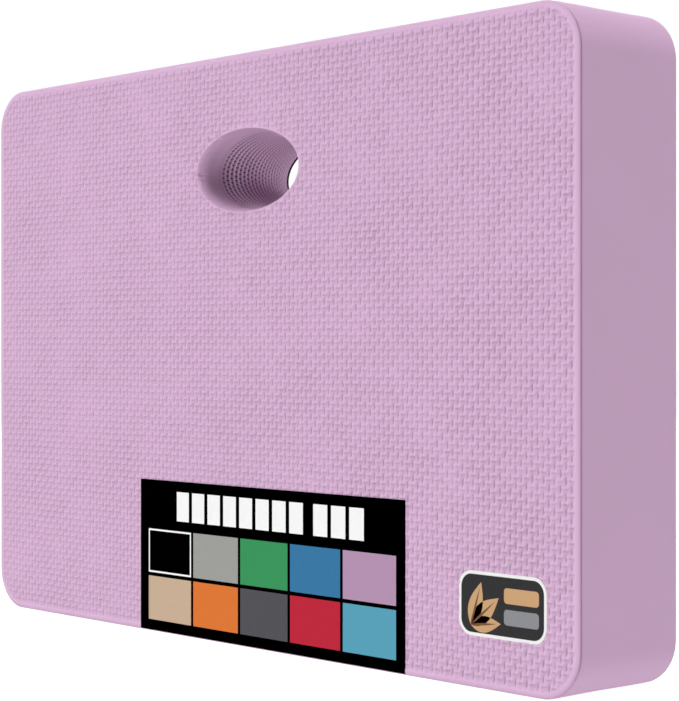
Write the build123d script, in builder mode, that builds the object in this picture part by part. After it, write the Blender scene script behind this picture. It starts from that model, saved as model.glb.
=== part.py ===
from build123d import *
import os

# Garden kneeling pad of closed-cell foam with an oval hand hole, in millimetres.
# It stands on its long edge: X runs along the edge, Y through the thickness with the
# kneeling face towards -Y, and Z is up. The origin is at the middle of the bottom edge.

# The slab
PAD_WIDTH = 420.0
PAD_HEIGHT = 280.0
PAD_THICKNESS = 61.0
CORNER_RADIUS = 20.5  # the four corners seen from the front
RIM_RADIUS = 1.2  # the rounding where the front and rear faces meet the sides
SKIN_THICKNESS = 1.2  # the dense patterned sheet on each face

# The hand hole is an ellipse that narrows smoothly to a waist at mid-thickness
HOLE_WIDTH = 78.0  # at the faces
HOLE_HEIGHT = 39.2  # at the faces
HOLE_FLARE = 11.3  # how far the wall stands in at the waist, at the left and right of the hole
HOLE_CROWN = 3.5  # the same at the top and bottom of the hole
HOLE_DROP = 55.3  # from the top edge down to the hole's centre
HOLE_SHIFT = 2.0  # from the pad's middle towards +X
HOLE_OVERRUN = 1.5  # how far the cutting shape runs past each face
HOLE_STEPS = 4  # sections of the cutting shape on each side of the waist

# The printed colour chart, which follows the rounded bottom rim
LABEL_WIDTH = 191.0
LABEL_TOP = 75.3  # above the bottom edge
LABEL_BOTTOM = 0.4  # above the bottom edge
LABEL_SHIFT = 15.6
LABEL_THICKNESS = 0.3

# The sticker
STICKER_WIDTH = 49.0
STICKER_HEIGHT = 27.0
STICKER_CORNER = 7.0
STICKER_FROM_SIDE = 42.0  # from the pad's +X side to the sticker's centre
STICKER_RISE = 35.0  # from the bottom edge to the sticker's centre
STICKER_THICKNESS = 0.3

HALF_THICKNESS = PAD_THICKNESS / 2
HOLE_RISE = PAD_HEIGHT - HOLE_DROP

# Plane.XZ looks towards -Y, so a positive offset lies in front of mid-thickness
FRONT_FACE = Plane.XZ.offset(HALF_THICKNESS)
FRONT_SEAM = Plane.XZ.offset(HALF_THICKNESS - SKIN_THICKNESS)
REAR_SEAM = Plane.XZ.offset(SKIN_THICKNESS - HALF_THICKNESS)


def rounded_slab(growth):
    """The pad's outline as a solid with rounded rims, grown all round by a small amount,
    or shrunk by a negative one."""
    half = HALF_THICKNESS + growth
    with BuildPart() as slab:
        with BuildSketch(Plane.XZ.offset(-half)):
            with Locations((0, PAD_HEIGHT / 2)):
                RectangleRounded(
                    PAD_WIDTH + 2 * growth, PAD_HEIGHT + 2 * growth, CORNER_RADIUS + growth
                )
        extrude(amount=2 * half)
        rims = slab.faces().filter_by(Axis.Y).edges()
        fillet(rims, radius=RIM_RADIUS + growth)
    return slab.part


def wall_inset(depth, rise):
    """How far the hole's wall stands back from its place at the face, at a distance from
    mid-thickness. The wall is a circular arc from face to face with that rise."""
    radius = (HALF_THICKNESS**2 + rise**2) / (2 * rise)
    return rise - radius + (radius**2 - depth**2) ** 0.5


with BuildPart() as hand_hole:
    for step in range(-HOLE_STEPS, HOLE_STEPS + 1):
        depth = (HALF_THICKNESS + HOLE_OVERRUN) * step / HOLE_STEPS
        half_width = HOLE_WIDTH / 2 - wall_inset(depth, HOLE_FLARE)
        half_height = HOLE_HEIGHT / 2 - wall_inset(depth, HOLE_CROWN)
        with BuildSketch(Plane.XZ.offset(-depth)):
            with Locations((HOLE_SHIFT, HOLE_RISE)):
                Ellipse(half_width, half_height)
    loft()

with BuildPart() as pad_blank:
    add(rounded_slab(0))
    add(hand_hole.part, mode=Mode.SUBTRACT)

with BuildPart() as foam_core:
    add(pad_blank.part)
    split(bisect_by=FRONT_SEAM, keep=Keep.BOTTOM)
    split(bisect_by=REAR_SEAM, keep=Keep.TOP)

with BuildPart() as rear_skin:
    add(pad_blank.part)
    split(bisect_by=REAR_SEAM, keep=Keep.BOTTOM)

# The label is the outermost layer of the slab, cut to its outline, so it lies flush with
# the face and turns down over the bottom rim
with BuildPart() as colour_label:
    with BuildSketch(FRONT_FACE):
        with Locations((LABEL_SHIFT, (LABEL_TOP + LABEL_BOTTOM) / 2)):
            Rectangle(LABEL_WIDTH, LABEL_TOP - LABEL_BOTTOM)
    extrude(amount=-SKIN_THICKNESS)
    add(rounded_slab(0), mode=Mode.INTERSECT)
    add(rounded_slab(-LABEL_THICKNESS), mode=Mode.SUBTRACT)

with BuildPart() as leaf_sticker:
    with BuildSketch(FRONT_FACE):
        with Locations((PAD_WIDTH / 2 - STICKER_FROM_SIDE, STICKER_RISE)):
            RectangleRounded(STICKER_WIDTH, STICKER_HEIGHT, STICKER_CORNER)
    extrude(amount=-STICKER_THICKNESS)

# The front skin has a shallow recess for each of them
with BuildPart() as front_skin:
    add(pad_blank.part)
    split(bisect_by=FRONT_SEAM, keep=Keep.TOP)
    add([colour_label.part, leaf_sticker.part], mode=Mode.SUBTRACT)

foam_core.part.label = "foam_core"
front_skin.part.label = "front_skin"
rear_skin.part.label = "rear_skin"
colour_label.part.label = "colour_label"
leaf_sticker.part.label = "leaf_sticker"

os.makedirs("parts", exist_ok=True)
export_step(foam_core.part, "parts/foam_core.step")
export_step(front_skin.part, "parts/front_skin.step")
export_step(rear_skin.part, "parts/rear_skin.step")
export_step(colour_label.part, "parts/colour_label.step")
export_step(leaf_sticker.part, "parts/leaf_sticker.step")
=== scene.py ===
import math

import bmesh
import bpy
import numpy as np
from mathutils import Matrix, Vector
from mathutils.geometry import tessellate_polygon


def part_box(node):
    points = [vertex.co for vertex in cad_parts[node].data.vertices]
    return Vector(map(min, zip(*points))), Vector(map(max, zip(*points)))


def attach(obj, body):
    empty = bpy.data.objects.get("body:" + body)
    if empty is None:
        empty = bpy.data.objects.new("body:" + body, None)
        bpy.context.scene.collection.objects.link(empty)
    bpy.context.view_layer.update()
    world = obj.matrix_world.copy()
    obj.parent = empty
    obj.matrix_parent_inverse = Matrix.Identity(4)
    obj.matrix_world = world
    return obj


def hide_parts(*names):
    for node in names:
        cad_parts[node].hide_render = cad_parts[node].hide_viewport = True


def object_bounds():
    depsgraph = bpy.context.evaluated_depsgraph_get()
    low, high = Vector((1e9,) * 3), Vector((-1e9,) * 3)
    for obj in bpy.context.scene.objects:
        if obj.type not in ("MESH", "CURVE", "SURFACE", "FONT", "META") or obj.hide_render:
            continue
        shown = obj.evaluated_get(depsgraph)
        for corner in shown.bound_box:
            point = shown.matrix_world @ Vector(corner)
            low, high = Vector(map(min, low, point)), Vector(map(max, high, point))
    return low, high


# A garden kneeling pad of foam: a smooth core between two woven-look skins, an oval hand
# hole, a flush printed colour chart and a small sticker. Shapes are worked out in
# millimetres, in the row frame, and turned into metres as each mesh is made.

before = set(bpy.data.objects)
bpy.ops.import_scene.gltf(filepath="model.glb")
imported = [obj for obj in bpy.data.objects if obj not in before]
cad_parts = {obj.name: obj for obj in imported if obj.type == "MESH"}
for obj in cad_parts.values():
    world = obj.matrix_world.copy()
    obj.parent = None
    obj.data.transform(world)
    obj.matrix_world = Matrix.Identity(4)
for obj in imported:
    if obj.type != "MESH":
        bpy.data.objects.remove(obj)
cad_low, cad_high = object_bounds()

MM = 0.001

# The slab. Its overall size and the skins' thickness are the frame's.
HALF_WIDTH = (cad_high.x - cad_low.x) / 2 / MM
HEIGHT = (cad_high.z - cad_low.z) / MM
HALF_DEPTH = (cad_high.y - cad_low.y) / 2 / MM
skin_low, skin_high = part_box("front_skin")
SKIN = (skin_high.y - skin_low.y) / MM
CORNER_RADIUS = 20.5
RIM_RADIUS = 1.2  # the curve of the chart where it wraps over the bottom rim
RIM_WIDTH = 2.4  # the smooth band where the skin rolls over its edge
RIM_PAINTED_SHADE = 0.45  # how dark the shade painted on that band gets, where 1 is the bottom of a groove

# The hand hole: an ellipse at each face, whose wall is an arc that stands in at the waist,
# by HOLE_FLARE at its left and right, and by HOLE_CROWN at its top and bottom
HOLE_X = 2.0
HOLE_Z = HEIGHT - 55.3
HOLE_HALF_WIDTH = 39.0
HOLE_HALF_HEIGHT = 19.6
HOLE_FLARE = 11.3
HOLE_CROWN = 3.5
WALL_RADIUS = (HALF_DEPTH**2 + HOLE_FLARE**2) / (2 * HOLE_FLARE)
LIP_BULGE = 2.6  # how far the front mouth's left lip is pulled in; the rear one isn't
LIP_DEPTH = 14.0  # how far down the wall that reaches
MOUTH_RADIUS = 1.0  # the soft rounding where the wall meets a face
MOUTH_TURN = math.pi / 2 - math.asin(HALF_DEPTH / WALL_RADIUS)
MOUTH_SETBACK = MOUTH_RADIUS * math.tan(MOUTH_TURN / 2)

# The moulded weave. A cell is the distance from one groove line to the next.
CELL_X = 3.0
CELL_Z = 3.07
SHOULDER = 0.26  # from a groove's bottom to its banks, in cells
GROOVE_DEPTH = 0.65
UPRIGHT_SHARE = 1.15  # an upright groove's depth, as a share of that
LEVEL_SHARE = 0.72  # the same for a level groove
GROOVE_TAPER = 0.15  # how much deeper a groove is at its lower or left end, as a share
GROOVE_UNEVEN = 0.12  # how far the grooves' depths differ, as a share
LOW_BANK = 0.24  # the bank on a groove's left or lower side is a little lower
GROOVE_SHIFT = 0.07  # level grooves lie this far to the right, and upright ones up, in cells
BACKING = 0.3  # the foam left behind the deepest groove
WEAVE_JITTER = 0.10  # how far each groove is out of line
JITTER_LIMIT = 0.25
WEAVE_FADE = 0.6  # how close to an edge the weave flattens out
WEAVE_DRIFT = 0.14  # how far the groove lines wander
DRIFT_BAND = (0.6, 3.0)  # how far from an edge they start to wander, and wander fully

# The hairline behind the core, and the seam between the core and the front skin
REAR_SEAM = (0.10, 0.12)  # half its width, and its depth
FRONT_SEAM = (0.34, 0.9)
SEAM_PAINTED_SHADE = 0.75  # how dark the shade painted on the core's side of it gets, where 1 is the core's darkest tone
PUCKER_BAND = (2.0, 13.0)  # how far behind it the corners' puckers start to fade, and end

# The texture in the hole runs in rows round the wall
ROW_PITCH = 2.27
ROW_START = -20.7  # at the left, along the wall from the waist, towards the front
ROW_SLANT = 4.5  # how much sooner the rows start at the top and bottom; twice that at the right
ROW_SHOULDER = 0.38  # from the middle of a row or a bead to its sides, as a share of it
ROW_DEPTH = 0.6
BEADS = 144  # round the hole; every second one has a pit
BEAD_DEPTH = 0.7  # how much deeper than its row a pit is
PIT_UNEVEN = 0.2  # how far the pits' depths differ, as a share
PIT_BANK = 0.6  # how deep the row's banks are beside a pit, as a share of BEAD_DEPTH
ROW_PAINTED_SHADE = 1.5  # how dark the shade painted in a full pit would get, before that is held to the darkest tone, 1
NO_ROW = 9  # marks a plain ring that belongs to no row
WALL_PAINTED_SHADE = 0.45  # how dark the shade painted on the smooth wall gets at its left, on the same scale
MOUTH_PAINTED_SHADE = 0.15  # the same painted shade at the mouth, and on the skins where they roll into it
REAR_EDGE_SHADE_BAND = 2.8  # how far the shade painted at the hole's rear edge reaches into the core

# The colour chart and the sticker
label_low, label_high = (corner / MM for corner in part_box("colour_label"))
sticker_low, sticker_high = (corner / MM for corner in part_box("leaf_sticker"))
FILM = 0.3
RECESS = 0.06  # the foam's clearance behind a film


# ---- Camera, lights and stage, in metres -------------------------------------------------

LENS = 101.2  # in millimetres, like the sensor
SENSOR_WIDTH = 36
CAMERA_PLACE = (0.7216, -0.6191, 0.1402)
CAMERA_TURN = (math.pi / 2 - 0.0006, 0, 0.8369)

PAD_MIDDLE = (0, 0, 0.14)  # every lamp points here
LAMPS = (  # name, place, size and power in watts
    ("key", (-1.1, -2.6, 0.9), 1.2, 47),
    ("front", (1.66, -2.38, -0.9), 1.2, 16),
    ("bounce", (0.6, -1.2, -1.4), 1.2, 10),
    ("top", (0.4, 0.0, 2.4), 1.4, 38),
    ("left", (-2.4, 0.8, 0.8), 1.2, 30),
    ("back", (1.4, 1.85, -0.75), 1.2, 26),
    ("rear", (-0.7, 2.6, 0.9), 1.2, 22),
)
STUDIO_LIGHT = 0.20  # the even light from all round
STAGE_REACH = 12.0  # from the pad to the backdrop and the floor's sides


def make_camera():
    data = bpy.data.cameras.new("camera")
    data.sensor_width = SENSOR_WIDTH
    data.lens = LENS
    camera = bpy.data.objects.new("camera", data)
    camera.location = CAMERA_PLACE
    camera.rotation_euler = CAMERA_TURN
    bpy.context.collection.objects.link(camera)
    bpy.context.scene.camera = camera


def area_light(name, place, size, power):
    data = bpy.data.lights.new(name, "AREA")
    data.shape = "DISK"
    data.size = size
    data.energy = power
    light = bpy.data.objects.new(name, data)
    light.location = place
    aim = Vector(PAD_MIDDLE) - Vector(place)
    light.rotation_euler = aim.to_track_quat("-Z", "Y").to_euler()
    bpy.context.collection.objects.link(light)


def stage_piece(name, mesh, grey, glow):
    """A piece of the white stage. It shows, but throws no light or shadow on the pad, so the
    pad is lit only by the lamps and the even light of the studio."""
    paint = bpy.data.materials.new(name + "_paint")
    paint.use_nodes = True
    shader = paint.node_tree.nodes["Principled BSDF"]
    shader.inputs["Base Color"].default_value = (grey, grey, grey, 1)
    shader.inputs["Roughness"].default_value = 0.9
    shader.inputs["Specular IOR Level"].default_value = 0.0
    shader.inputs["Emission Color"].default_value = (1, 1, 1, 1)
    shader.inputs["Emission Strength"].default_value = glow
    mesh.materials.append(paint)
    piece = bpy.data.objects.new(name, mesh)
    piece.visible_diffuse = False
    piece.visible_glossy = False
    piece.visible_shadow = False
    bpy.context.collection.objects.link(piece)


def make_stage():
    scene = bpy.context.scene
    scene.view_settings.view_transform = "Standard"
    world = bpy.data.worlds.new("studio")
    world.use_nodes = True
    background = world.node_tree.nodes["Background"]
    background.inputs["Color"].default_value = (1, 1, 1, 1)
    background.inputs["Strength"].default_value = STUDIO_LIGHT
    scene.world = world
    for lamp in LAMPS:
        area_light(*lamp)

    floor = bpy.data.meshes.new("floor")
    ways = ((-1, -1), (1, -1), (1, 1), (-1, 1))
    corners = [(STAGE_REACH * x, STAGE_REACH * y, 0) for x, y in ways]
    floor.from_pydata(corners, [], [(0, 1, 2, 3)])
    stage_piece("floor", floor, grey=0.35, glow=0.88)
    ball = bmesh.new()
    bmesh.ops.create_uvsphere(ball, u_segments=48, v_segments=24, radius=STAGE_REACH)
    backdrop = bpy.data.meshes.new("backdrop")
    ball.to_mesh(backdrop)
    ball.free()
    stage_piece("backdrop", backdrop, grey=0.0, glow=1.0)


# ---- Materials ---------------------------------------------------------------------------


def linear(red, green, blue):
    """A colour given as 0 to 255 on a screen, as a linear colour."""
    return tuple(
        c / 255 / 12.92 if c / 255 <= 0.04045 else ((c / 255 + 0.055) / 1.055) ** 2.4
        for c in (red, green, blue)
    )


class Material:
    """A Principled material with texture coordinates in metres, and short ways to add nodes."""

    def __init__(self, name, roughness, specular):
        self.material = bpy.data.materials.new(name)
        self.material.use_nodes = True
        self.tree = self.material.node_tree
        self.shader = self.tree.nodes["Principled BSDF"]
        self.shader.inputs["Roughness"].default_value = roughness
        self.shader.inputs["Specular IOR Level"].default_value = specular
        self.place = self.tree.nodes.new("ShaderNodeTexCoord").outputs["Object"]

    def noise(self, per_metre, detail=2.0, roughness=0.5):
        node = self.tree.nodes.new("ShaderNodeTexNoise")
        node.inputs["Scale"].default_value = per_metre
        node.inputs["Detail"].default_value = detail
        node.inputs["Roughness"].default_value = roughness
        self.tree.links.new(self.place, node.inputs["Vector"])
        return node.outputs["Fac"]

    def attribute(self, name):
        node = self.tree.nodes.new("ShaderNodeAttribute")
        node.attribute_name = name
        return node.outputs["Fac"]

    def spread(self, value, low=0.0, high=1.0):
        """value from 0.3 to 0.7, where most of a noise lies, spread over low to high."""
        node = self.tree.nodes.new("ShaderNodeMapRange")
        node.inputs["From Min"].default_value = 0.3
        node.inputs["From Max"].default_value = 0.7
        node.inputs["To Min"].default_value = low
        node.inputs["To Max"].default_value = high
        self.tree.links.new(value, node.inputs["Value"])
        return node.outputs["Result"]

    def times(self, value, factor):
        node = self.tree.nodes.new("ShaderNodeMath")
        node.operation = "MULTIPLY"
        self.tree.links.new(value, node.inputs[0])
        node.inputs[1].default_value = factor
        return node.outputs[0]

    def mix(self, share, first, second):
        """A colour from first to second, each a linear colour or another node's output."""
        node = self.tree.nodes.new("ShaderNodeMix")
        node.data_type = "RGBA"
        self.tree.links.new(share, node.inputs[0])
        for socket, colour in ((node.inputs[6], first), (node.inputs[7], second)):
            if isinstance(colour, tuple):
                socket.default_value = (*colour, 1)
            else:
                self.tree.links.new(colour, socket)
        return node.outputs[2]

    def colour(self, output):
        self.tree.links.new(output, self.shader.inputs["Base Color"])

    def roughness(self, output):
        self.tree.links.new(output, self.shader.inputs["Roughness"])

    def bump(self, height, metres):
        node = self.tree.nodes.new("ShaderNodeBump")
        node.inputs["Distance"].default_value = metres
        self.tree.links.new(height, node.inputs["Height"])
        self.tree.links.new(node.outputs["Normal"], self.shader.inputs["Normal"])


FOAM = (0.770, 0.502, 0.733)  # linear


def shade(colour, share):
    return tuple(c * share for c in colour)


def foam_material(name, grain, painted_shade_share, darkest):
    """Matt closed-cell foam. grain is the bump's height in metres. The other two set the shade
    painted into grooves and recesses: how far their bottoms go towards the darkest tone, a share
    of the foam's own."""
    foam = Material(name, roughness=0.86, specular=0.22)
    foam.shader.inputs["Sheen Weight"].default_value = 0.03
    foam.shader.inputs["Sheen Roughness"].default_value = 0.5
    cloud = foam.spread(foam.noise(per_metre=14, detail=3))
    speck = foam.spread(foam.noise(per_metre=1500))
    tone = foam.mix(cloud, shade(FOAM, 0.985), shade(FOAM, 1.015))
    tone = foam.mix(foam.times(speck, 0.35), tone, shade(FOAM, 0.93))
    # Painted shade: the point attribute darkens the foam towards the darkest tone in grooves,
    # seams and the hole
    painted_shade = foam.times(foam.attribute("painted_shade"), painted_shade_share)
    tone = foam.mix(painted_shade, tone, shade(FOAM, darkest))
    foam.colour(tone)
    foam.roughness(foam.spread(foam.noise(per_metre=900), 0.80, 0.92))
    foam.bump(foam.noise(per_metre=1100, detail=3, roughness=0.6), grain)
    return foam.material


def rear_edge_shade_material():
    """Near-black painted shade along the hole's rear edge."""
    foam = Material("painted_shade_rear_edge", roughness=0.9, specular=0.05)
    colour = linear(34, 20, 32)
    speck = foam.spread(foam.noise(per_metre=700))
    foam.colour(foam.mix(speck, colour, shade(colour, 0.5)))
    foam.bump(foam.noise(per_metre=900), 0.00006)
    return foam.material


def print_material(name, rgb, specular=0.0):
    """Flat printing ink on a thin film, with a faint unevenness."""
    ink = Material(name, 0.6, specular)
    colour = linear(*rgb)
    patch = ink.spread(ink.noise(per_metre=260, detail=3))
    ink.colour(ink.mix(patch, colour, shade(colour, 0.975)))
    ink.roughness(ink.spread(ink.noise(per_metre=400), 0.55, 0.68))
    ink.bump(ink.noise(per_metre=500), 0.00001)
    return ink.material


# ---- Mesh building -----------------------------------------------------------------------


class Shell:
    """Collects points in millimetres and faces, and makes one closed mesh of them."""

    def __init__(self):
        self.points = []
        self.painted_shade = []
        self.count = 0
        self.faces = []
        self.slots = []
        self.flat = []

    # Each point also holds a share of painted shade, by which the foam materials darken it
    def add_points(self, points, painted_shade=0.0):
        points = np.asarray(points, float).reshape(-1, 3)
        self.points.append(points)
        self.painted_shade.append(np.broadcast_to(np.asarray(painted_shade, float).ravel(), len(points)))
        self.count += len(points)
        return np.arange(self.count - len(points), self.count)

    def add_faces(self, faces, slot=0, flat=False):
        """flat faces keep hard edges all round."""
        faces = faces.tolist() if isinstance(faces, np.ndarray) else faces
        self.faces += faces
        self.slots += [slot] * len(faces)
        self.flat += [flat] * len(faces)

    def join(self, ring, further, slot=0):
        """Quads between two closed rings of the same length. ring runs as its own face's edge."""
        ahead = np.roll(ring, -1)
        beyond = np.roll(further, -1)
        self.add_faces(np.stack([ahead, ring, further, beyond], axis=1), slot)

    def cap(self, outer, inner, facing):
        """A flat face between two rings at one depth, looking along +Y or -Y as facing says."""
        points = np.concatenate(self.points)
        loops = [[Vector((*points[i, [0, 2]], 0)) for i in ring] for ring in (outer, inner)]
        index = np.concatenate([outer, inner])
        faces = []
        for a, b, c in tessellate_polygon(loops):
            triangle = index[[a, b, c]]
            x, _, z = points[triangle].T
            turn = (x[1] - x[0]) * (z[2] - z[0]) - (x[2] - x[0]) * (z[1] - z[0])
            faces.append(triangle if turn * facing < 0 else triangle[::-1])
        self.add_faces(np.array(faces), flat=True)

    def mirror(self):
        """Turns a front piece into a rear one."""
        self.points = [points * (1, -1, 1) for points in self.points]
        self.faces = [face[::-1] for face in self.faces]

    def make(self, name, materials):
        mesh = bpy.data.meshes.new(name)
        mesh.from_pydata((np.concatenate(self.points) * MM).tolist(), [], self.faces)
        for material in materials:
            mesh.materials.append(material)
        mesh.polygons.foreach_set("material_index", self.slots)
        mesh.polygons.foreach_set("use_smooth", [True] * len(self.faces))
        # The painted shade, stored for the foam materials to read
        painted_shade = mesh.attributes.new("painted_shade", "FLOAT", "POINT")
        painted_shade.data.foreach_set("value", np.concatenate(self.painted_shade))
        self.harden(mesh)
        mesh.validate()
        piece = bpy.data.objects.new(name, mesh)
        bpy.context.collection.objects.link(piece)
        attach(piece, "root")
        return piece

    def harden(self, mesh):
        """Marks every edge of a flat face as sharp."""
        edge = np.empty(len(mesh.loops), int)
        mesh.loops.foreach_get("edge_index", edge)
        sides = np.empty(len(mesh.polygons), int)
        mesh.polygons.foreach_get("loop_total", sides)
        flat = np.repeat(np.array(self.flat), sides)
        sharp = np.zeros(len(mesh.edges), bool)
        sharp[edge[flat]] = True
        mesh.edges.foreach_set("use_edge_sharp", sharp)


def smooth_step(value, low, high):
    t = np.clip((value - low) / (high - low), 0, 1)
    return t * t * (3 - 2 * t)


class Waves:
    """Smooth seeded unevenness: a few sine waves of different lengths and directions."""

    def __init__(self, rng, shortest, longest, size, count=9):
        length = rng.uniform(shortest, longest, count)
        way = rng.uniform(0, math.tau, count)
        self.kx = math.tau * np.cos(way) / length
        self.ky = math.tau * np.sin(way) / length
        self.start = rng.uniform(0, math.tau, count)
        self.size = size / math.sqrt(count)

    def __call__(self, x, y):
        phase = x[..., None] * self.kx + y[..., None] * self.ky + self.start
        return self.size * np.sin(phase).sum(axis=-1)


# ---- The outline and the hole ------------------------------------------------------------


def past_outline(x, z):
    """How far a point lies outside the flat part of a face, which ends where the rim starts."""
    over_x = np.abs(x) - (HALF_WIDTH - CORNER_RADIUS)
    over_z = np.abs(z - HEIGHT / 2) - (HEIGHT / 2 - CORNER_RADIUS)
    outside = np.hypot(np.maximum(over_x, 0), np.maximum(over_z, 0))
    inside = np.minimum(np.maximum(over_x, over_z), 0)
    return outside + inside - (CORNER_RADIUS - RIM_WIDTH)


def outward(x, z):
    """The way straight out of the pad's outline at a point near it."""
    over_x = np.maximum(np.abs(x) - (HALF_WIDTH - CORNER_RADIUS), 0) * np.sign(x)
    over_z = np.abs(z - HEIGHT / 2) - (HEIGHT / 2 - CORNER_RADIUS)
    over_z = np.maximum(over_z, 0) * np.sign(z - HEIGHT / 2)
    length = np.hypot(over_x, over_z)
    return over_x / length, over_z / length


def into_mouth(x, z, lip):
    """How far a point lies inside the mouth of the hole, where its rounding starts."""
    half_width = HOLE_HALF_WIDTH + MOUTH_SETBACK - lip * (x < HOLE_X)
    half_height = HOLE_HALF_HEIGHT + MOUTH_SETBACK
    across = (x - HOLE_X) / half_width
    up = (z - HOLE_Z) / half_height
    reach = np.maximum(np.hypot(across, up), 1e-6)
    slope = np.hypot(across / half_width, up / half_height) / reach
    return (1 - reach) / slope


def mouth_angle(x, z, lip):
    half_width = HOLE_HALF_WIDTH + MOUTH_SETBACK - lip * (x < HOLE_X)
    half_height = HOLE_HALF_HEIGHT + MOUTH_SETBACK
    return np.arctan2((z - HOLE_Z) / half_height, (x - HOLE_X) / half_width)


def off_face(x, z, lip):
    """Positive outside the flat face: beyond its outline, or in the mouth."""
    return np.maximum(past_outline(x, z), into_mouth(x, z, lip))


def wall_narrowing(depth):
    """How much less than at the face the hole's half width is, at a depth from mid-thickness."""
    return HOLE_FLARE - WALL_RADIUS + np.sqrt(WALL_RADIUS**2 - depth**2)


def hole_ring(angle, narrowing, depth, lip, relief=0.0):
    """Points round the hole, set back into the foam by relief. narrowing is how much less than
    at the face the half width is. All but lip may be arrays."""
    bulge = lip * smooth_step(-np.asarray(depth), HALF_DEPTH - LIP_DEPTH, HALF_DEPTH)
    half_width = HOLE_HALF_WIDTH - narrowing - bulge * (np.cos(angle) < 0) + relief
    share = np.where(np.asarray(narrowing) > 0, HOLE_CROWN / HOLE_FLARE, 1)
    half_height = HOLE_HALF_HEIGHT - share * narrowing + relief
    x = HOLE_X + half_width * np.cos(angle)
    z = HOLE_Z + half_height * np.sin(angle)
    return np.stack(np.broadcast_arrays(x, depth, z), axis=-1)


class Creases:
    """Short seeded folds across the mouth's edge, on the left where the foam was pulled in."""

    def __init__(self, rng, count=26):
        self.angle = np.radians(rng.uniform(118, 282, count))
        self.depth = rng.uniform(0.2, 0.6, count)
        self.width = rng.uniform(0.6, 1.0, count)
        self.out = rng.uniform(0.8, 4.5, count)  # how far onto the face
        self.inwards = rng.uniform(2.5, 9.0, count)  # how far down the wall
        self.slant = rng.uniform(-0.25, 0.25, count)

    def __call__(self, x, z, out):
        """How deep the folds are at a point, which lies out from the mouth's edge, or down its
        wall where out is negative."""
        angle = np.mod(mouth_angle(x, z, LIP_BULGE), math.tau)[..., None]
        radius = np.hypot(x - HOLE_X, z - HOLE_Z)[..., None]
        out = np.asarray(out)[..., None]
        aside = (angle - self.angle) * radius - self.slant * out
        near = np.exp(-((aside / self.width) ** 2))
        reach = np.where(out > 0, out / self.out, -out / self.inwards)
        return (self.depth * near * (1 - smooth_step(reach, 0.35, 1.0))).max(axis=-1)


# ---- The skins ---------------------------------------------------------------------------


def groove_lines(low, high, pitch, start, shoulder=SHOULDER):
    """The places of the grid lines that follow the grooves, with each groove's number and the
    line's side of it: -1, 0 or 1."""
    numbers = np.arange(math.floor((low - start) / pitch), math.ceil((high - start) / pitch) + 1)
    number = np.repeat(numbers, 3)
    side = np.tile([-1, 0, 1], len(numbers))
    return start + (number + shoulder * side) * pitch, number, side


def weave_depth(column, across, row, up, uneven):
    """How deep the weave is at grid points. At each crossing of the groove lines lies a short
    groove, upright and level in turns, which reaches half way to its neighbours."""
    upright = (column + row) % 2 == 0
    in_groove = np.where(upright, across, up) == 0
    along = np.where(upright, up, across)
    bank = np.where(upright, across, up)
    groove = np.where(upright, UPRIGHT_SHARE, LEVEL_SHARE) * GROOVE_DEPTH
    groove = groove * (1 - GROOVE_TAPER * along)
    return np.where(in_groove, groove, LOW_BANK * (bank < 0)) * uneven


def cut_points(kept_end, lost_end, lip):
    """Where the edge of the flat face crosses the lines between pairs of points."""
    near = kept_end.copy()
    far = lost_end.copy()
    for _ in range(30):
        middle = (near + far) / 2
        off = off_face(*middle.T, lip) > 0
        far[off] = middle[off]
        near[~off] = middle[~off]
    return near


def under_film(x, z, low, high):
    return (x > low.x) & (x < high.x) & (z > low.z) & (z < high.z)


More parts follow.
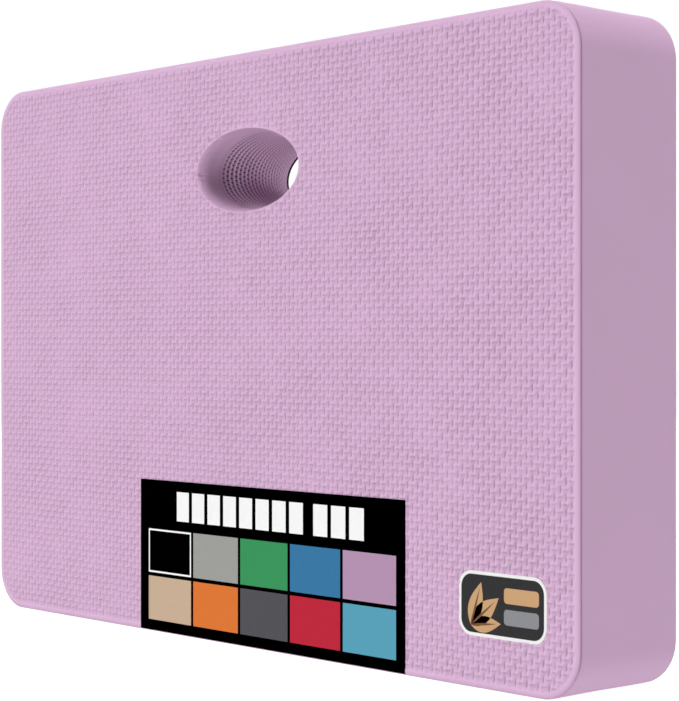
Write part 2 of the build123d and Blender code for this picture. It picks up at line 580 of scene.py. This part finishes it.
def woven_face(shell, seed, creases, films, lip):
    """Adds a skin's flat face with its weave, and returns its two edges: the outline's and the
    mouth's, each in the order of the face's own edge."""
    rng = np.random.default_rng(seed)
    x_line, column, across = groove_lines(-HALF_WIDTH, HALF_WIDTH, CELL_X, CELL_X / 2)
    z_line, row, up = groove_lines(0, HEIGHT, CELL_Z, HEIGHT / 2)
    x, z = np.meshgrid(x_line, z_line)
    kept = off_face(x, z, lip) < 0

    # Random numbers for each crossing, so that no two grooves are quite alike
    columns = column - column.min()
    rows = row - row.min()
    crossings = (rows.max() + 1, columns.max() + 1)
    on_grid = np.ix_(rows, columns)
    uneven = np.clip(1 + rng.normal(0, GROOVE_UNEVEN, crossings), 0.6, 1.3)[on_grid]
    jitter = rng.normal(0, WEAVE_JITTER, (3, *crossings)).clip(-JITTER_LIMIT, JITTER_LIMIT)
    jitter_x, jitter_z, slant = (each[on_grid] for each in jitter)
    broad = Waves(rng, shortest=25, longest=90, size=0.10)
    column, row = np.meshgrid(column, row)
    across, up = np.meshgrid(across, up)
    depth = weave_depth(column, across, row, up, uneven * (1 + broad(x, z)))
    edge = -off_face(x, z, lip)
    depth = depth * smooth_step(edge, 0.0, WEAVE_FADE)
    folds = creases(x, z, np.maximum(-into_mouth(x, z, lip), 0)) if creases else 0 * x
    depth = np.minimum(np.maximum(depth, folds), SKIN - BACKING)
    # Shade painted into the weave's grooves, low banks and folds, as deep as they are
    painted_shade = depth / GROOVE_DEPTH
    for low, high in films:
        depth = np.where(under_film(x, z, low, high), FILM + RECESS, depth)

    # The groove lines wander a little, but hold still near the edges
    loose = smooth_step(edge, *DRIFT_BAND)
    upright = (column + row) % 2 == 0
    drift_x = Waves(rng, shortest=14, longest=50, size=WEAVE_DRIFT)(x, z) + jitter_x
    drift_x = drift_x + np.where(upright, slant * up, GROOVE_SHIFT * CELL_X)
    drift_z = Waves(rng, shortest=14, longest=50, size=WEAVE_DRIFT)(x, z) + jitter_z
    drift_z = drift_z + np.where(upright, GROOVE_SHIFT * CELL_Z, slant * across)
    drift_x = drift_x * loose
    drift_z = drift_z * loose
    points = np.stack([x + drift_x, depth - HALF_DEPTH, z + drift_z], axis=-1)
    index = np.full(kept.shape, -1)
    index[kept] = shell.add_points(points[kept], painted_shade[kept])

    def cuts(first, second):
        """Points where the face's edge crosses the grid lines from first to second."""
        found = np.full(kept[first].shape, -1)
        crossed = kept[first] != kept[second]
        a = np.stack([x[first][crossed], z[first][crossed]], axis=1)
        b = np.stack([x[second][crossed], z[second][crossed]], axis=1)
        from_first = kept[first][crossed][:, None]
        cut = cut_points(np.where(from_first, a, b), np.where(from_first, b, a), lip)
        level = np.full(len(cut), -HALF_DEPTH)
        # Painted shade at the mouth's edge
        painted_dim = MOUTH_PAINTED_SHADE * (into_mouth(*cut.T, lip) > -0.1)
        found[crossed] = shell.add_points(np.stack([cut[:, 0], level, cut[:, 1]], axis=1), painted_dim)
        return found

    first_cut = shell.count
    level_cut = cuts(np.s_[:, :-1], np.s_[:, 1:])
    upright_cut = cuts(np.s_[:-1, :], np.s_[1:, :])

    corners = (kept[:-1, :-1], kept[:-1, 1:], kept[1:, 1:], kept[1:, :-1])
    whole = np.logical_and.reduce(corners)
    quads = [index[:-1, :-1], index[:-1, 1:], index[1:, 1:], index[1:, :-1]]
    shell.add_faces(np.stack([corner[whole] for corner in quads], axis=1))

    follow = {}
    for j, i in zip(*np.nonzero(np.logical_or.reduce(corners) & ~whole)):
        walk = (index[j, i], level_cut[j, i], index[j, i + 1], upright_cut[j, i + 1],
                index[j + 1, i + 1], level_cut[j + 1, i], index[j + 1, i], upright_cut[j, i])
        polygon = [int(point) for point in walk if point >= 0]
        shell.add_faces([polygon])
        for a, b in zip(polygon, polygon[1:] + polygon[:1]):
            if a >= first_cut and b >= first_cut:
                follow[a] = b
    edges = []
    while follow:
        point, after = follow.popitem()
        ring = [point]
        while after in follow:
            ring.append(after)
            after = follow.pop(after)
        edges.append(np.array(ring))
    mouth, outline = sorted(edges, key=len)
    return outline, mouth


def rim_rings(shell, outline, seam):
    """Rounds the rim from the face's outline into the seam, and returns the last ring."""
    seam_width, seam_depth = seam

    # Each ring's way out from the face's outline, and its depth below the face: a quarter
    # turn that ends just short of the seam, and then the seam's own bank, which turns in
    profile = []
    drop = SKIN - 1.2 * seam_width
    for degrees in (15, 30, 45, 60, 75, 88):
        turn = math.radians(degrees)
        profile.append((RIM_WIDTH * math.sin(turn), drop * (1 - math.cos(turn))))
    profile.append((RIM_WIDTH - 0.25 * seam_depth, SKIN - 0.6 * seam_width))
    profile.append((RIM_WIDTH - seam_depth, SKIN))
    start = np.concatenate(shell.points)[outline]
    way_x, way_z = outward(start[:, 0], start[:, 2])
    ring = outline
    for out, back in profile:
        points = start + np.stack([way_x * out, np.full(len(start), back), way_z * out], axis=1)
        # Painted shade: darker towards the seam, and across the band as it rolls over the edge
        painted_shade = smooth_step(back, SKIN - 1.5 * seam_width, SKIN)
        further = shell.add_points(points, max(painted_shade, RIM_PAINTED_SHADE * out / RIM_WIDTH))
        shell.join(ring, further)
        ring = further
    return ring


def mouth_rings(shell, mouth, creases, edge_slot, lip):
    """Rounds the mouth from the face into the hole's wall, and returns the ring at the core."""
    start = np.concatenate(shell.points)[mouth]
    ahead = np.roll(start, -1, axis=0)
    halfway = (start + ahead) / 2
    angle = np.empty(2 * len(mouth))
    angle[0::2] = mouth_angle(start[:, 0], start[:, 2], lip)
    angle[1::2] = mouth_angle(halfway[:, 0], halfway[:, 2], lip)

    # Each ring's narrowing, its depth below the face and how far it has turned: a rounded
    # edge, and then the wall down to the core
    steps = 5
    profile = []
    for step in range(1, steps + 1):
        turn = MOUTH_TURN * step / steps
        narrowing = MOUTH_RADIUS * math.sin(turn) - MOUTH_SETBACK
        profile.append((narrowing, MOUTH_RADIUS * (1 - math.cos(turn)), turn))
    for back in np.linspace(profile[-1][1], SKIN, 4)[1:]:
        depth = HALF_DEPTH - back
        profile.append((wall_narrowing(depth), back, MOUTH_TURN))

    ring = None
    for number, (narrowing, back, turn) in enumerate(profile):
        points = hole_ring(angle, narrowing, back - HALF_DEPTH, lip)
        if creases:
            along = -(narrowing + MOUTH_SETBACK)
            fold = creases(points[:, 0], points[:, 2], np.full(len(points), along))
            fold = fold * (number < len(profile) - 1)
            points = hole_ring(angle, narrowing, back - HALF_DEPTH + fold * math.cos(turn), lip,
                               fold * math.sin(turn))
        # The mouth's rounding and wall take the painted shade of the mouth
        further = shell.add_points(points, MOUTH_PAINTED_SHADE)
        # On the rear skin, the mouth's last turns and wall take the painted shade of the rear
        # edge
        slot = edge_slot if number >= steps - 2 else 0
        if ring is None:
            faces = np.stack([np.roll(mouth, -1), mouth, further[0::2], further[1::2],
                              np.roll(further, -2)[0::2]], axis=1)
            shell.add_faces(faces, slot)
        else:
            shell.join(ring, further, slot)
        ring = further
    return ring


def make_skin(name, node, seed, seam, creases, films, materials, lip):
    shell = Shell()
    outline, mouth = woven_face(shell, seed, creases, films, lip)
    seam_ring = rim_rings(shell, outline, seam)
    edge_slot = len(materials) - 1
    wall_ring = mouth_rings(shell, mouth, creases, edge_slot, lip)
    shell.cap(seam_ring, wall_ring, facing=1)
    if node == "rear_skin":
        shell.mirror()
    piece = shell.make(name, materials)
    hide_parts(node)


# ---- The core ----------------------------------------------------------------------------


def outline_points(spacing, corner_spacing):
    """Points round the pad's side, counter-clockwise from the front, with the way out at each."""
    reach_x = HALF_WIDTH - CORNER_RADIUS
    reach_z = HEIGHT / 2 - CORNER_RADIUS
    steps = round(CORNER_RADIUS * math.pi / 2 / corner_spacing)
    places = []
    for quarter, (x, z) in enumerate(((1, -1), (1, 1), (-1, 1), (-1, -1))):
        corner = np.array([x * reach_x, HEIGHT / 2 + z * reach_z])
        turns = np.radians(-90 + 90 * quarter + 90 * np.arange(steps + 1) / steps)
        ways = np.stack([np.cos(turns), np.sin(turns)], axis=1)
        places += [(corner + CORNER_RADIUS * way, way) for way in ways]
        length = 2 * (reach_z if quarter % 2 == 0 else reach_x)
        count = round(length / spacing)
        run = np.array([-ways[-1][1], ways[-1][0]])
        places += [(places[-1][0] + run * length * k / count, ways[-1]) for k in range(1, count)]
    return np.array([p for p, _ in places]), np.array([w for _, w in places])


def side_rings(shell, rng):
    """The core's smooth side, from the front seam to the rear one. Returns its end rings."""
    place, way = outline_points(spacing=3.0, corner_spacing=0.8)
    run = np.concatenate([[0], np.cumsum(np.hypot(*np.diff(place, axis=0).T))])
    core = HALF_DEPTH - SKIN
    front_width, front_depth = FRONT_SEAM
    rear_width, rear_depth = REAR_SEAM

    # Each ring's place through the thickness, and how far it is set in for a seam
    profile = [(-core, front_depth), (-core + 0.15 * front_width, 0.3 * front_depth),
               (-core + 0.4 * front_width, 0.08), (-core + 1.1 * front_width, 0.0)]
    profile += [(depth, 0.0) for depth in np.linspace(2.2 - core, core - 1.5, 26)]
    profile += [(core - rear_width, 0.0), (core, rear_depth)]
    gentle = Waves(rng, shortest=30, longest=120, size=0.10)
    pucker = Waves(rng, shortest=2.2, longest=5.0, size=0.16, count=14)
    corner = 1 - np.abs(way).max(axis=1)  # 0 on the straights, and most in mid-corner
    corner = smooth_step(corner, 0.0, 0.12)
    rings = []
    for depth, inset in profile:
        free = smooth_step(core - abs(depth), 0.0, 3.0)
        near_seam = 1 - smooth_step(depth + core, *PUCKER_BAND)
        at = np.full(len(run), depth)
        swell = gentle(run, at) * free
        swell += np.minimum(pucker(run, 0.6 * at), 0.0) * corner * near_seam * (depth > -core)
        xz = place + way * (swell - inset)[:, None]
        # Shade painted into the seams, as far as the side is set in
        painted_shade = SEAM_PAINTED_SHADE * min(inset / front_depth, 1)
        rings.append(shell.add_points(np.stack([xz[:, 0], at, xz[:, 1]], axis=1), painted_shade))
    for ring, further in zip(rings, rings[1:]):
        shell.join(ring, further)
    return rings[0], rings[-1]


def even_angles(fractions):
    """The ellipse angles that share out the hole's wall evenly by length."""
    fine = np.linspace(0, math.tau, 2001)
    ring = hole_ring(fine, HOLE_FLARE / 2, 0.0, 0.0)
    length = np.concatenate([[0], np.cumsum(np.linalg.norm(np.diff(ring, axis=0), axis=1))])
    return np.interp(fractions % 1.0 * length[-1], length, fine)


def bore_rings(shell, rng, creases):
    """The core's part of the hole's wall: smooth near the front, then rows of pits."""
    core = HALF_DEPTH - SKIN
    bead = np.repeat(np.arange(BEADS), 3)
    along = np.tile([-1, 0, 1], BEADS)
    angle = even_angles((bead + ROW_SHOULDER * along) / BEADS)
    start = WALL_RADIUS * math.asin(-core / WALL_RADIUS)
    end = -start

    # Where the rings lie along the wall, each with its row's number and its side of the row:
    # a few plain ones, then three to a row, and one at the rear skin
    smooth = np.arange(start, start + 2.0, 0.9)
    row_place, row, across = groove_lines(start, end, ROW_PITCH, ROW_START, ROW_SHOULDER)
    woven = (row_place > smooth[-1] + 0.5) & (row_place < end - 0.4)
    place = np.concatenate([smooth, row_place[woven], [end]])
    row = np.concatenate([np.full(len(smooth), -1), row[woven], [0]])
    across = np.concatenate([np.full(len(smooth), NO_ROW), across[woven], [NO_ROW]])
    row = row - row.min()
    uneven = np.clip(1 + rng.normal(0, PIT_UNEVEN, (row.max() + 1, BEADS)), 0.5, 1.5)
    first = ROW_START - ROW_SLANT * (1 + np.cos(angle))  # where the rows start
    fray = Waves(rng, shortest=1.6, longest=3.2, size=0.10, count=16)
    rings = []
    for here, number, side in zip(place, row, across):
        depth = WALL_RADIUS * math.sin(here / WALL_RADIUS)
        strength = smooth_step(here, first - 1, first + 7)
        pit = (bead + number) % 2 == 0
        relief = np.zeros(len(angle))
        if side == 0:
            relief = ROW_DEPTH + BEAD_DEPTH * pit * uneven[number, bead]
        elif side in (-1, 1):
            relief = np.where(pit & (along == 0), PIT_BANK * BEAD_DEPTH, 0.0)
        relief = relief * strength

        # Shade is painted on the smooth wall, darker down to the rows and mostly at its left, and
        # in the rows' pits
        painted_dim = MOUTH_PAINTED_SHADE + (WALL_PAINTED_SHADE - MOUTH_PAINTED_SHADE) * smooth_step(here, start, start + 6)
        painted_dim = painted_dim * (1 - smooth_step(here, first, first + 8))
        painted_dim = painted_dim * (0.15 + 0.85 * np.maximum(-np.cos(angle), 0) ** 2)
        painted_shade = np.clip(painted_dim + ROW_PAINTED_SHADE * relief / (ROW_DEPTH + BEAD_DEPTH), 0, 1)

        # Folds run down from the mouth, and finer ones lie in the smooth wall at its left.
        # The end rings stay in place, where the skins meet them.
        points = hole_ring(angle, wall_narrowing(depth), depth, LIP_BULGE)
        down = here - WALL_RADIUS * math.asin(-HALF_DEPTH / WALL_RADIUS)
        fold = creases(points[:, 0], points[:, 2], np.full(len(points), -down))
        left = smooth_step(-np.cos(angle - math.radians(25)), -0.1, 0.5)
        smooth_band = 1 - smooth_step(here, ROW_START - 2, ROW_START + 6)
        round_wall = np.mod(angle, math.tau) * HOLE_HALF_HEIGHT * 1.3  # about the distance
        fine = np.maximum(fray(round_wall, np.full(len(angle), 0.15 * here)), 0)
        fold = fold + fine * left * smooth_band
        relief = relief + fold * (abs(depth) < core - 0.01)

        lean = depth / WALL_RADIUS
        points = hole_ring(angle, wall_narrowing(depth), depth - relief * lean, LIP_BULGE,
                           relief * math.sqrt(1 - lean**2))
        rings.append(shell.add_points(points, painted_shade))
    for here, ring, further in zip(place, rings, rings[1:]):
        # The wall's last rings by the rear skin take the painted shade of the rear edge
        shell.join(further, ring, int(here > end - REAR_EDGE_SHADE_BAND))
    return rings[0], rings[-1]


def make_core(creases, materials):
    rng = np.random.default_rng(31)
    shell = Shell()
    side_front, side_rear = side_rings(shell, rng)
    bore_front, bore_rear = bore_rings(shell, rng, creases)
    shell.cap(side_front, bore_front, facing=-1)
    shell.cap(side_rear, bore_rear, facing=1)
    piece = shell.make("foam_core_body", materials)
    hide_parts("foam_core")


# ---- The colour chart --------------------------------------------------------------------

SWATCHES = (  # the upper row and then the lower one, from the left
    ("black", (1, 1, 1)), ("grey", (161, 162, 157)), ("green", (62, 151, 95)),
    ("blue", (61, 122, 167)), ("lilac", (183, 148, 180)),
    ("beige", (203, 177, 152)), ("orange", (224, 122, 58)), ("slate", (86, 85, 90)),
    ("red", (193, 44, 63)), ("teal", (91, 163, 188)),
)
SWATCHES_PER_ROW = 5
SWATCH_WIDTH = 34.3
SWATCH_PITCH = 36.1
SWATCH_LEFT = 6.7  # from the chart's left edge
SWATCH_ROWS = ((29.2, 50.9), (5.7, 27.4))  # heights of their lower and upper edges
KEYLINE = 0.9  # the white line round the black swatch
BLOCK_WIDTH = 9.6  # the blank blocks that stand where a heading would be
BLOCK_PITCH = 12.1
BLOCK_ROW = (55.8, 70.2)
BLOCK_GROUPS = ((29.7, 8), (131.1, 3))  # from the chart's left edge, and how many
BLACK, WHITE, FIRST_SWATCH = 0, 1, 2  # material numbers


def label_fields():
    """The printed fields as (x low, x high, z low, z high, material number); later ones win."""
    left = label_low.x
    fields = []
    for start, count in BLOCK_GROUPS:
        for number in range(count):
            x = left + start + number * BLOCK_PITCH
            fields.append((x, x + BLOCK_WIDTH, *BLOCK_ROW, WHITE))
    for number in range(len(SWATCHES)):
        x = left + SWATCH_LEFT + number % SWATCHES_PER_ROW * SWATCH_PITCH
        right = x + SWATCH_WIDTH
        low, high = SWATCH_ROWS[number // SWATCHES_PER_ROW]
        if number == 0:
            fields.append((x, right, low, high, WHITE))
            fields.append((x + KEYLINE, right - KEYLINE, low + KEYLINE, high - KEYLINE,
                           FIRST_SWATCH))
        else:
            fields.append((x, right, low, high, FIRST_SWATCH + number))
    return fields


def make_label():
    """The chart is a grid of film, cut along the edges of its printed fields, that lies on the
    face and wraps down over the bottom rim."""
    fields = label_fields()
    xs = sorted({label_low.x, label_high.x, *(f[0] for f in fields), *(f[1] for f in fields)})
    zs = {label_high.z, RIM_RADIUS, *(f[2] for f in fields), *(f[3] for f in fields)}

    # Each line's height, its place in Y, and how far the film has turned down the rim there
    path = [(z, -HALF_DEPTH, 0.0) for z in sorted(zs, reverse=True)]
    last_turn = math.asin((RIM_RADIUS - label_low.z) / RIM_RADIUS)
    for turn in np.linspace(0, last_turn, 9)[1:]:
        z = RIM_RADIUS * (1 - math.sin(turn))
        path.append((z, -HALF_DEPTH + RIM_RADIUS * (1 - math.cos(turn)), turn))
    shell = Shell()
    layers = []
    for inset in (0.0, FILM):
        rows = [[(x, y + inset * math.cos(turn), z + inset * math.sin(turn)) for x in xs]
                for z, y, turn in path]
        layers.append(shell.add_points(rows).reshape(len(path), len(xs)))
    outer, inner = layers
    for j in range(len(path) - 1):
        for i in range(len(xs) - 1):
            x = (xs[i] + xs[i + 1]) / 2
            z = (path[j][0] + path[j + 1][0]) / 2
            slot = BLACK
            for x_low, x_high, z_low, z_high, number in fields:
                if x_low < x < x_high and z_low < z < z_high:
                    slot = number
            shell.add_faces([[int(outer[j, i]), int(outer[j + 1, i]), int(outer[j + 1, i + 1]),
                              int(outer[j, i + 1])]], slot)
    back = np.stack([inner[:-1, :-1], inner[:-1, 1:], inner[1:, 1:], inner[1:, :-1]], axis=-1)
    shell.add_faces(back.reshape(-1, 4), flat=True)
    front, rear = edge_ring(outer), edge_ring(inner)
    shell.add_faces(np.stack([np.roll(front, -1), front, rear, np.roll(rear, -1)], axis=1),
                    flat=True)
    materials = [
        print_material("label_black", (0.5, 0.5, 0.5)),
        print_material("label_white", (250, 250, 250)),
    ]
    materials += [print_material("ink_" + name, rgb) for name, rgb in SWATCHES]
    piece = shell.make("colour_chart_film", materials)
    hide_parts("colour_label")


def edge_ring(grid):
    """The border of a grid of point numbers, in the order of the grid's own face edges."""
    return np.concatenate([grid[:-1, 0], grid[-1, :-1], grid[:0:-1, -1], grid[0, :0:-1]])


# ---- The sticker -------------------------------------------------------------------------

STICKER_CORNER = 7.0
STICKER_BORDER = 1.4
PRINT_LAYER = 0.03  # each print stands this far proud of the one below
STEM = (-17.5, -9.0)  # from the sticker's middle
LEAVES = ((19, 8.0, 72), (20, 8.5, 38), (17, 7.0, 6))  # length, width and angle
VEIN_WIDTH = 1.0
VEIN_SHARE = 0.86  # of its leaf's length
BAR_X = 10.8  # the blank bars' middle, from the sticker's
BAR_SIZE = (9.6, 3.2, 1.6)  # half width, half height and corner radius
BARS = ((4.6, 2), (-4.2, 4))  # how far above the sticker's middle, and material number


def rounded_rectangle(centre, half_width, half_height, radius, steps=8):
    points = []
    for quarter, (x, z) in enumerate(((1, -1), (1, 1), (-1, 1), (-1, -1))):
        for step in range(steps + 1):
            turn = math.radians(-90 + 90 * quarter + 90 * step / steps)
            points.append((centre[0] + x * (half_width - radius) + radius * math.cos(turn),
                           centre[1] + z * (half_height - radius) + radius * math.sin(turn)))
    return points


def leaf(stem, length, width, degrees, steps=14):
    """A pointed leaf that grows from its stem at an angle above +X."""
    way = math.radians(degrees)
    along = [math.sin(math.pi / 2 * k / steps) ** 2 for k in range(steps + 1)]
    half = [width / 2 * math.sin(math.pi * a**0.8) for a in along]
    lower = [(length * a, -h) for a, h in zip(along, half)]
    upper = [(length * a, h) for a, h in zip(along[-2:0:-1], half[-2:0:-1])]
    return [(stem[0] + u * math.cos(way) - v * math.sin(way),
             stem[1] + u * math.sin(way) + v * math.cos(way)) for u, v in lower + upper]


def add_plate(shell, outline, front, slot):
    """A thin closed plate of the sticker. front is how far its front lies below the face."""
    count = len(outline)
    near = shell.add_points([(x, -HALF_DEPTH + front, z) for x, z in outline])
    far = shell.add_points([(x, -HALF_DEPTH + FILM, z) for x, z in outline])
    shell.add_faces([near.tolist()], slot, flat=True)
    shell.add_faces([far[::-1].tolist()], slot, flat=True)
    ahead = (np.arange(count) + 1) % count
    shell.add_faces(np.stack([near[ahead], near, far, far[ahead]], axis=1), slot)


def make_sticker():
    x = (sticker_low.x + sticker_high.x) / 2
    z = (sticker_low.z + sticker_high.z) / 2
    half_width = (sticker_high.x - sticker_low.x) / 2
    half_height = (sticker_high.z - sticker_low.z) / 2
    shell = Shell()
    for inset, layers, slot in ((0.0, 3, 0), (STICKER_BORDER, 2, 1)):
        outline = rounded_rectangle((x, z), half_width - inset, half_height - inset,
                                    STICKER_CORNER - inset)
        add_plate(shell, outline, layers * PRINT_LAYER, slot)
    stem = (x + STEM[0], z + STEM[1])
    for length, width, degrees in LEAVES:
        add_plate(shell, leaf(stem, length, width, degrees), PRINT_LAYER, 2)
        add_plate(shell, leaf(stem, VEIN_SHARE * length, VEIN_WIDTH, degrees), 0.0, 3)
    for height, slot in BARS:
        bar = rounded_rectangle((x + BAR_X, z + height), *BAR_SIZE)
        add_plate(shell, bar, PRINT_LAYER, slot)
    materials = [
        print_material("sticker_white", (246, 246, 244), 0.3),
        print_material("sticker_charcoal", (38, 36, 38), 0.3),
        print_material("sticker_tan", (206, 164, 118), 0.3),
        print_material("sticker_brown", (120, 78, 48), 0.3),
        print_material("sticker_grey", (140, 142, 146), 0.3),
    ]
    piece = shell.make("leaf_sticker_film", materials)
    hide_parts("leaf_sticker")


# ---- The pad -----------------------------------------------------------------------------

make_camera()
make_stage()

# Both foams take painted shade from the point attribute: the weave in its grooves, the core in
# its seams and hole
woven_foam = foam_material("woven_foam", grain=0.00005, painted_shade_share=0.6, darkest=0.3)
smooth_foam = foam_material("smooth_foam", grain=0.00006, painted_shade_share=1.0, darkest=0.03)
rear_edge_shade_foam = rear_edge_shade_material()
folds = Creases(np.random.default_rng(17))
films = ((label_low, label_high), (sticker_low, sticker_high))
make_skin("front_skin_weave", "front_skin", seed=5, seam=FRONT_SEAM, creases=folds, films=films,
          materials=[woven_foam], lip=LIP_BULGE)
# The rear skin's second material is the painted shade of the hole's rear edge
make_skin("rear_skin_weave", "rear_skin", seed=6, seam=REAR_SEAM, creases=None, films=(),
          materials=[woven_foam, rear_edge_shade_foam], lip=0.0)
make_core(folds, [smooth_foam, rear_edge_shade_foam])
make_label()
make_sticker()
